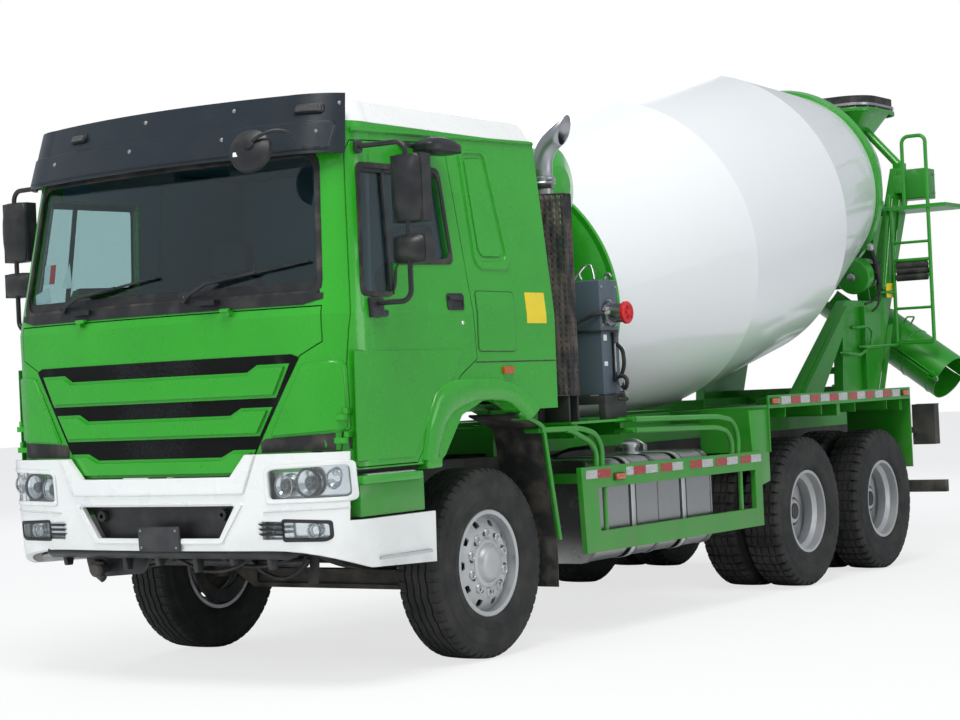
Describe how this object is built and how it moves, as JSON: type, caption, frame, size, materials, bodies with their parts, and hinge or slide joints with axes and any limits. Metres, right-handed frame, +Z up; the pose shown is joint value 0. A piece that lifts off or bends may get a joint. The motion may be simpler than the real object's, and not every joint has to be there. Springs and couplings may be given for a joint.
{
  "type": "concrete mixer truck",
  "caption": "Three-axle cab-over mixer truck with a tilted rotating drum, charging hopper, swinging discharge chute, opening doors and steered front wheels.",
  "frame": {"origin": "on the ground, at the centre of the whole truck's plan box", "axes": "+X towards the truck's left side, +Y towards its rear (the truck faces -Y), +Z up from the ground"},
  "size_m": [3.11, 9.4788, 3.9589],
  "materials": {
    "aluminium": "brushed aluminium",
    "black_plastic": "moulded black plastic",
    "cast_iron": "cast iron",
    "chassis_paint": "dark chassis paint",
    "dark_trim": "grey moulded trim",
    "glass": "clear glass",
    "green_paint": "satin green paint",
    "grey_paint": "grey paint",
    "lamp": "clear lamp lens over a bright reflector",
    "rubber": "black rubber",
    "silver_rim": "silver rim paint",
    "steel": "bare steel",
    "tyre": "tyre rubber",
    "white_paint": "white enamel"
  },
  "bodies": {
    "chassis": {"air_tanks": "chassis_paint", "axles": "chassis_paint", "bumper": "white_paint", "cab_interior": "dark_trim", "cab_roof": "white_paint", "cab_shell": "green_paint", "chassis_frame": "chassis_paint", "collector": "green_paint", "drum_drive": "grey_paint", "engine": "cast_iron", "exhaust": "steel", "front_deck": "green_paint", "front_mirror": "black_plastic", "front_mudguards": "black_plastic", "front_stand": "green_paint", "fuel_tank": "aluminium", "headlamps": "lamp", "hopper": "green_paint", "hopper_collar": "rubber", "ladder": "green_paint", "mixer_subframe": "green_paint", "oil_cooler": "grey_paint", "rear_bumper": "chassis_paint", "rear_mudguards": "green_paint", "rear_stand": "green_paint", "side_guards": "green_paint", "springs": "chassis_paint", "sun_visor": "dark_trim", "water_tank": "green_paint", "windscreen": "glass"},
    "door_left": {"door_left": "green_paint", "door_glass_left": "glass", "mirror_left": "black_plastic"},
    "door_right": {"door_right": "green_paint", "door_glass_right": "glass", "mirror_right": "black_plastic"},
    "front_lid": {"front_lid": "green_paint"},
    "knuckle_left": {"knuckle_left": "chassis_paint"},
    "knuckle_right": {"knuckle_right": "chassis_paint"},
    "tie_rod": {"tie_rod": "chassis_paint"},
    "front_wheel_left": {"front_tyre_left": "tyre", "front_wheel_left": "silver_rim"},
    "front_wheel_right": {"front_tyre_right": "tyre", "front_wheel_right": "silver_rim"},
    "rear_wheels_1_left": {"rear_tyres_1_left": "tyre", "rear_wheel_1_left": "silver_rim"},
    "rear_wheels_1_right": {"rear_tyres_1_right": "tyre", "rear_wheel_1_right": "silver_rim"},
    "rear_wheels_2_left": {"rear_tyres_2_left": "tyre", "rear_wheel_2_left": "silver_rim"},
    "rear_wheels_2_right": {"rear_tyres_2_right": "tyre", "rear_wheel_2_right": "silver_rim"},
    "drum": {"drum_shell": "white_paint", "drum_rings": "green_paint"},
    "drum_roller_left": {"drum_roller_left": "steel"},
    "drum_roller_right": {"drum_roller_right": "steel"},
    "chute_swivel": {"chute_swivel": "green_paint"},
    "chute": {"chute": "green_paint"},
    "chute_extension": {"chute_extension": "green_paint"},
    "steering_wheel": {"steering_wheel": "dark_trim"}
  },
  "joints": [
    {"name": "steer_left", "type": "hinge", "parent": "chassis", "child": "knuckle_left", "pos_m": [0.88, -3.0806, 0.542], "axis": [0, 0, 1], "range_deg": [-35, 35]},
    {"name": "steer_right", "type": "hinge", "parent": "chassis", "child": "knuckle_right", "pos_m": [-0.88, -3.0806, 0.542], "axis": [0, 0, 1], "range_deg": [-35, 35]},
    {"name": "tie_rod_pivot", "type": "hinge", "parent": "knuckle_left", "child": "tie_rod", "pos_m": [0.88, -2.8806, 0.42], "axis": [0, 0, 1], "range_deg": [-35, 35]},
    {"name": "steering_wheel_turn", "type": "hinge", "parent": "chassis", "child": "steering_wheel", "pos_m": [-0.56, -3.8806, 2.01], "axis": [0, 0.5736, 0.8192], "range_deg": [-720, 720]},
    {"name": "front_wheel_left_spin", "type": "hinge", "parent": "knuckle_left", "child": "front_wheel_left", "pos_m": [1.011, -3.0806, 0.542], "axis": [1, 0, 0], "continuous": true},
    {"name": "front_wheel_right_spin", "type": "hinge", "parent": "knuckle_right", "child": "front_wheel_right", "pos_m": [-1.011, -3.0806, 0.542], "axis": [1, 0, 0], "continuous": true},
    {"name": "rear_wheels_1_left_spin", "type": "hinge", "parent": "chassis", "child": "rear_wheels_1_left", "pos_m": [0.915, 0.9444, 0.542], "axis": [1, 0, 0], "continuous": true},
    {"name": "rear_wheels_1_right_spin", "type": "hinge", "parent": "chassis", "child": "rear_wheels_1_right", "pos_m": [-0.915, 0.9444, 0.542], "axis": [1, 0, 0], "continuous": true},
    {"name": "rear_wheels_2_left_spin", "type": "hinge", "parent": "chassis", "child": "rear_wheels_2_left", "pos_m": [0.915, 2.2944, 0.542], "axis": [1, 0, 0], "continuous": true},
    {"name": "rear_wheels_2_right_spin", "type": "hinge", "parent": "chassis", "child": "rear_wheels_2_right", "pos_m": [-0.915, 2.2944, 0.542], "axis": [1, 0, 0], "continuous": true},
    {"name": "drum_spin", "type": "hinge", "parent": "chassis", "child": "drum", "pos_m": [0, -1.9951, 1.9259], "axis": [0, 0.9762, 0.2167], "continuous": true},
    {"name": "drum_roller_left_spin", "type": "hinge", "parent": "chassis", "child": "drum_roller_left", "pos_m": [0.6, 3.5444, 2.365], "axis": [0, 0.9762, 0.2167], "continuous": true},
    {"name": "drum_roller_right_spin", "type": "hinge", "parent": "chassis", "child": "drum_roller_right", "pos_m": [-0.6, 3.5444, 2.365], "axis": [0, 0.9762, 0.2167], "continuous": true},
    {"name": "door_left_hinge", "type": "hinge", "parent": "chassis", "child": "door_left", "pos_m": [1.187, -4.4026, 1.34], "axis": [0, 0, -1], "range_deg": [0, 70]},
    {"name": "door_right_hinge", "type": "hinge", "parent": "chassis", "child": "door_right", "pos_m": [-1.187, -4.4026, 1.34], "axis": [0, 0, 1], "range_deg": [0, 70]},
    {"name": "front_lid_hinge", "type": "hinge", "parent": "chassis", "child": "front_lid", "pos_m": [0, -4.5526, 2], "axis": [-1, 0, 0], "range_deg": [0, 80]},
    {"name": "chute_swing", "type": "hinge", "parent": "chassis", "child": "chute_swivel", "pos_m": [0, 4.2694, 1.5], "axis": [0, 0, 1], "range_deg": [0, 190]},
    {"name": "chute_tilt", "type": "hinge", "parent": "chute_swivel", "child": "chute", "pos_m": [0.2954, 4.2173, 2.005], "axis": [-0.1736, -0.9848, 0], "range_deg": [-8, 20]},
    {"name": "chute_extension_hinge", "type": "hinge", "parent": "chute", "child": "chute_extension", "pos_m": [1.1037, 4.0748, 1.4514], "axis": [0.1736, 0.9848, 0], "range_deg": [0, 180]}
  ],
  "couplings": [
    {"joint": "steer_right", "follows": "steer_left", "ratio": 1},
    {"joint": "tie_rod_pivot", "follows": "steer_left", "ratio": -1},
    {"joint": "steering_wheel_turn", "follows": "steer_left", "ratio": 20},
    {"joint": "drum_roller_left_spin", "follows": "drum_spin", "ratio": -6.816},
    {"joint": "drum_roller_right_spin", "follows": "drum_spin", "ratio": -6.816}
  ]
}
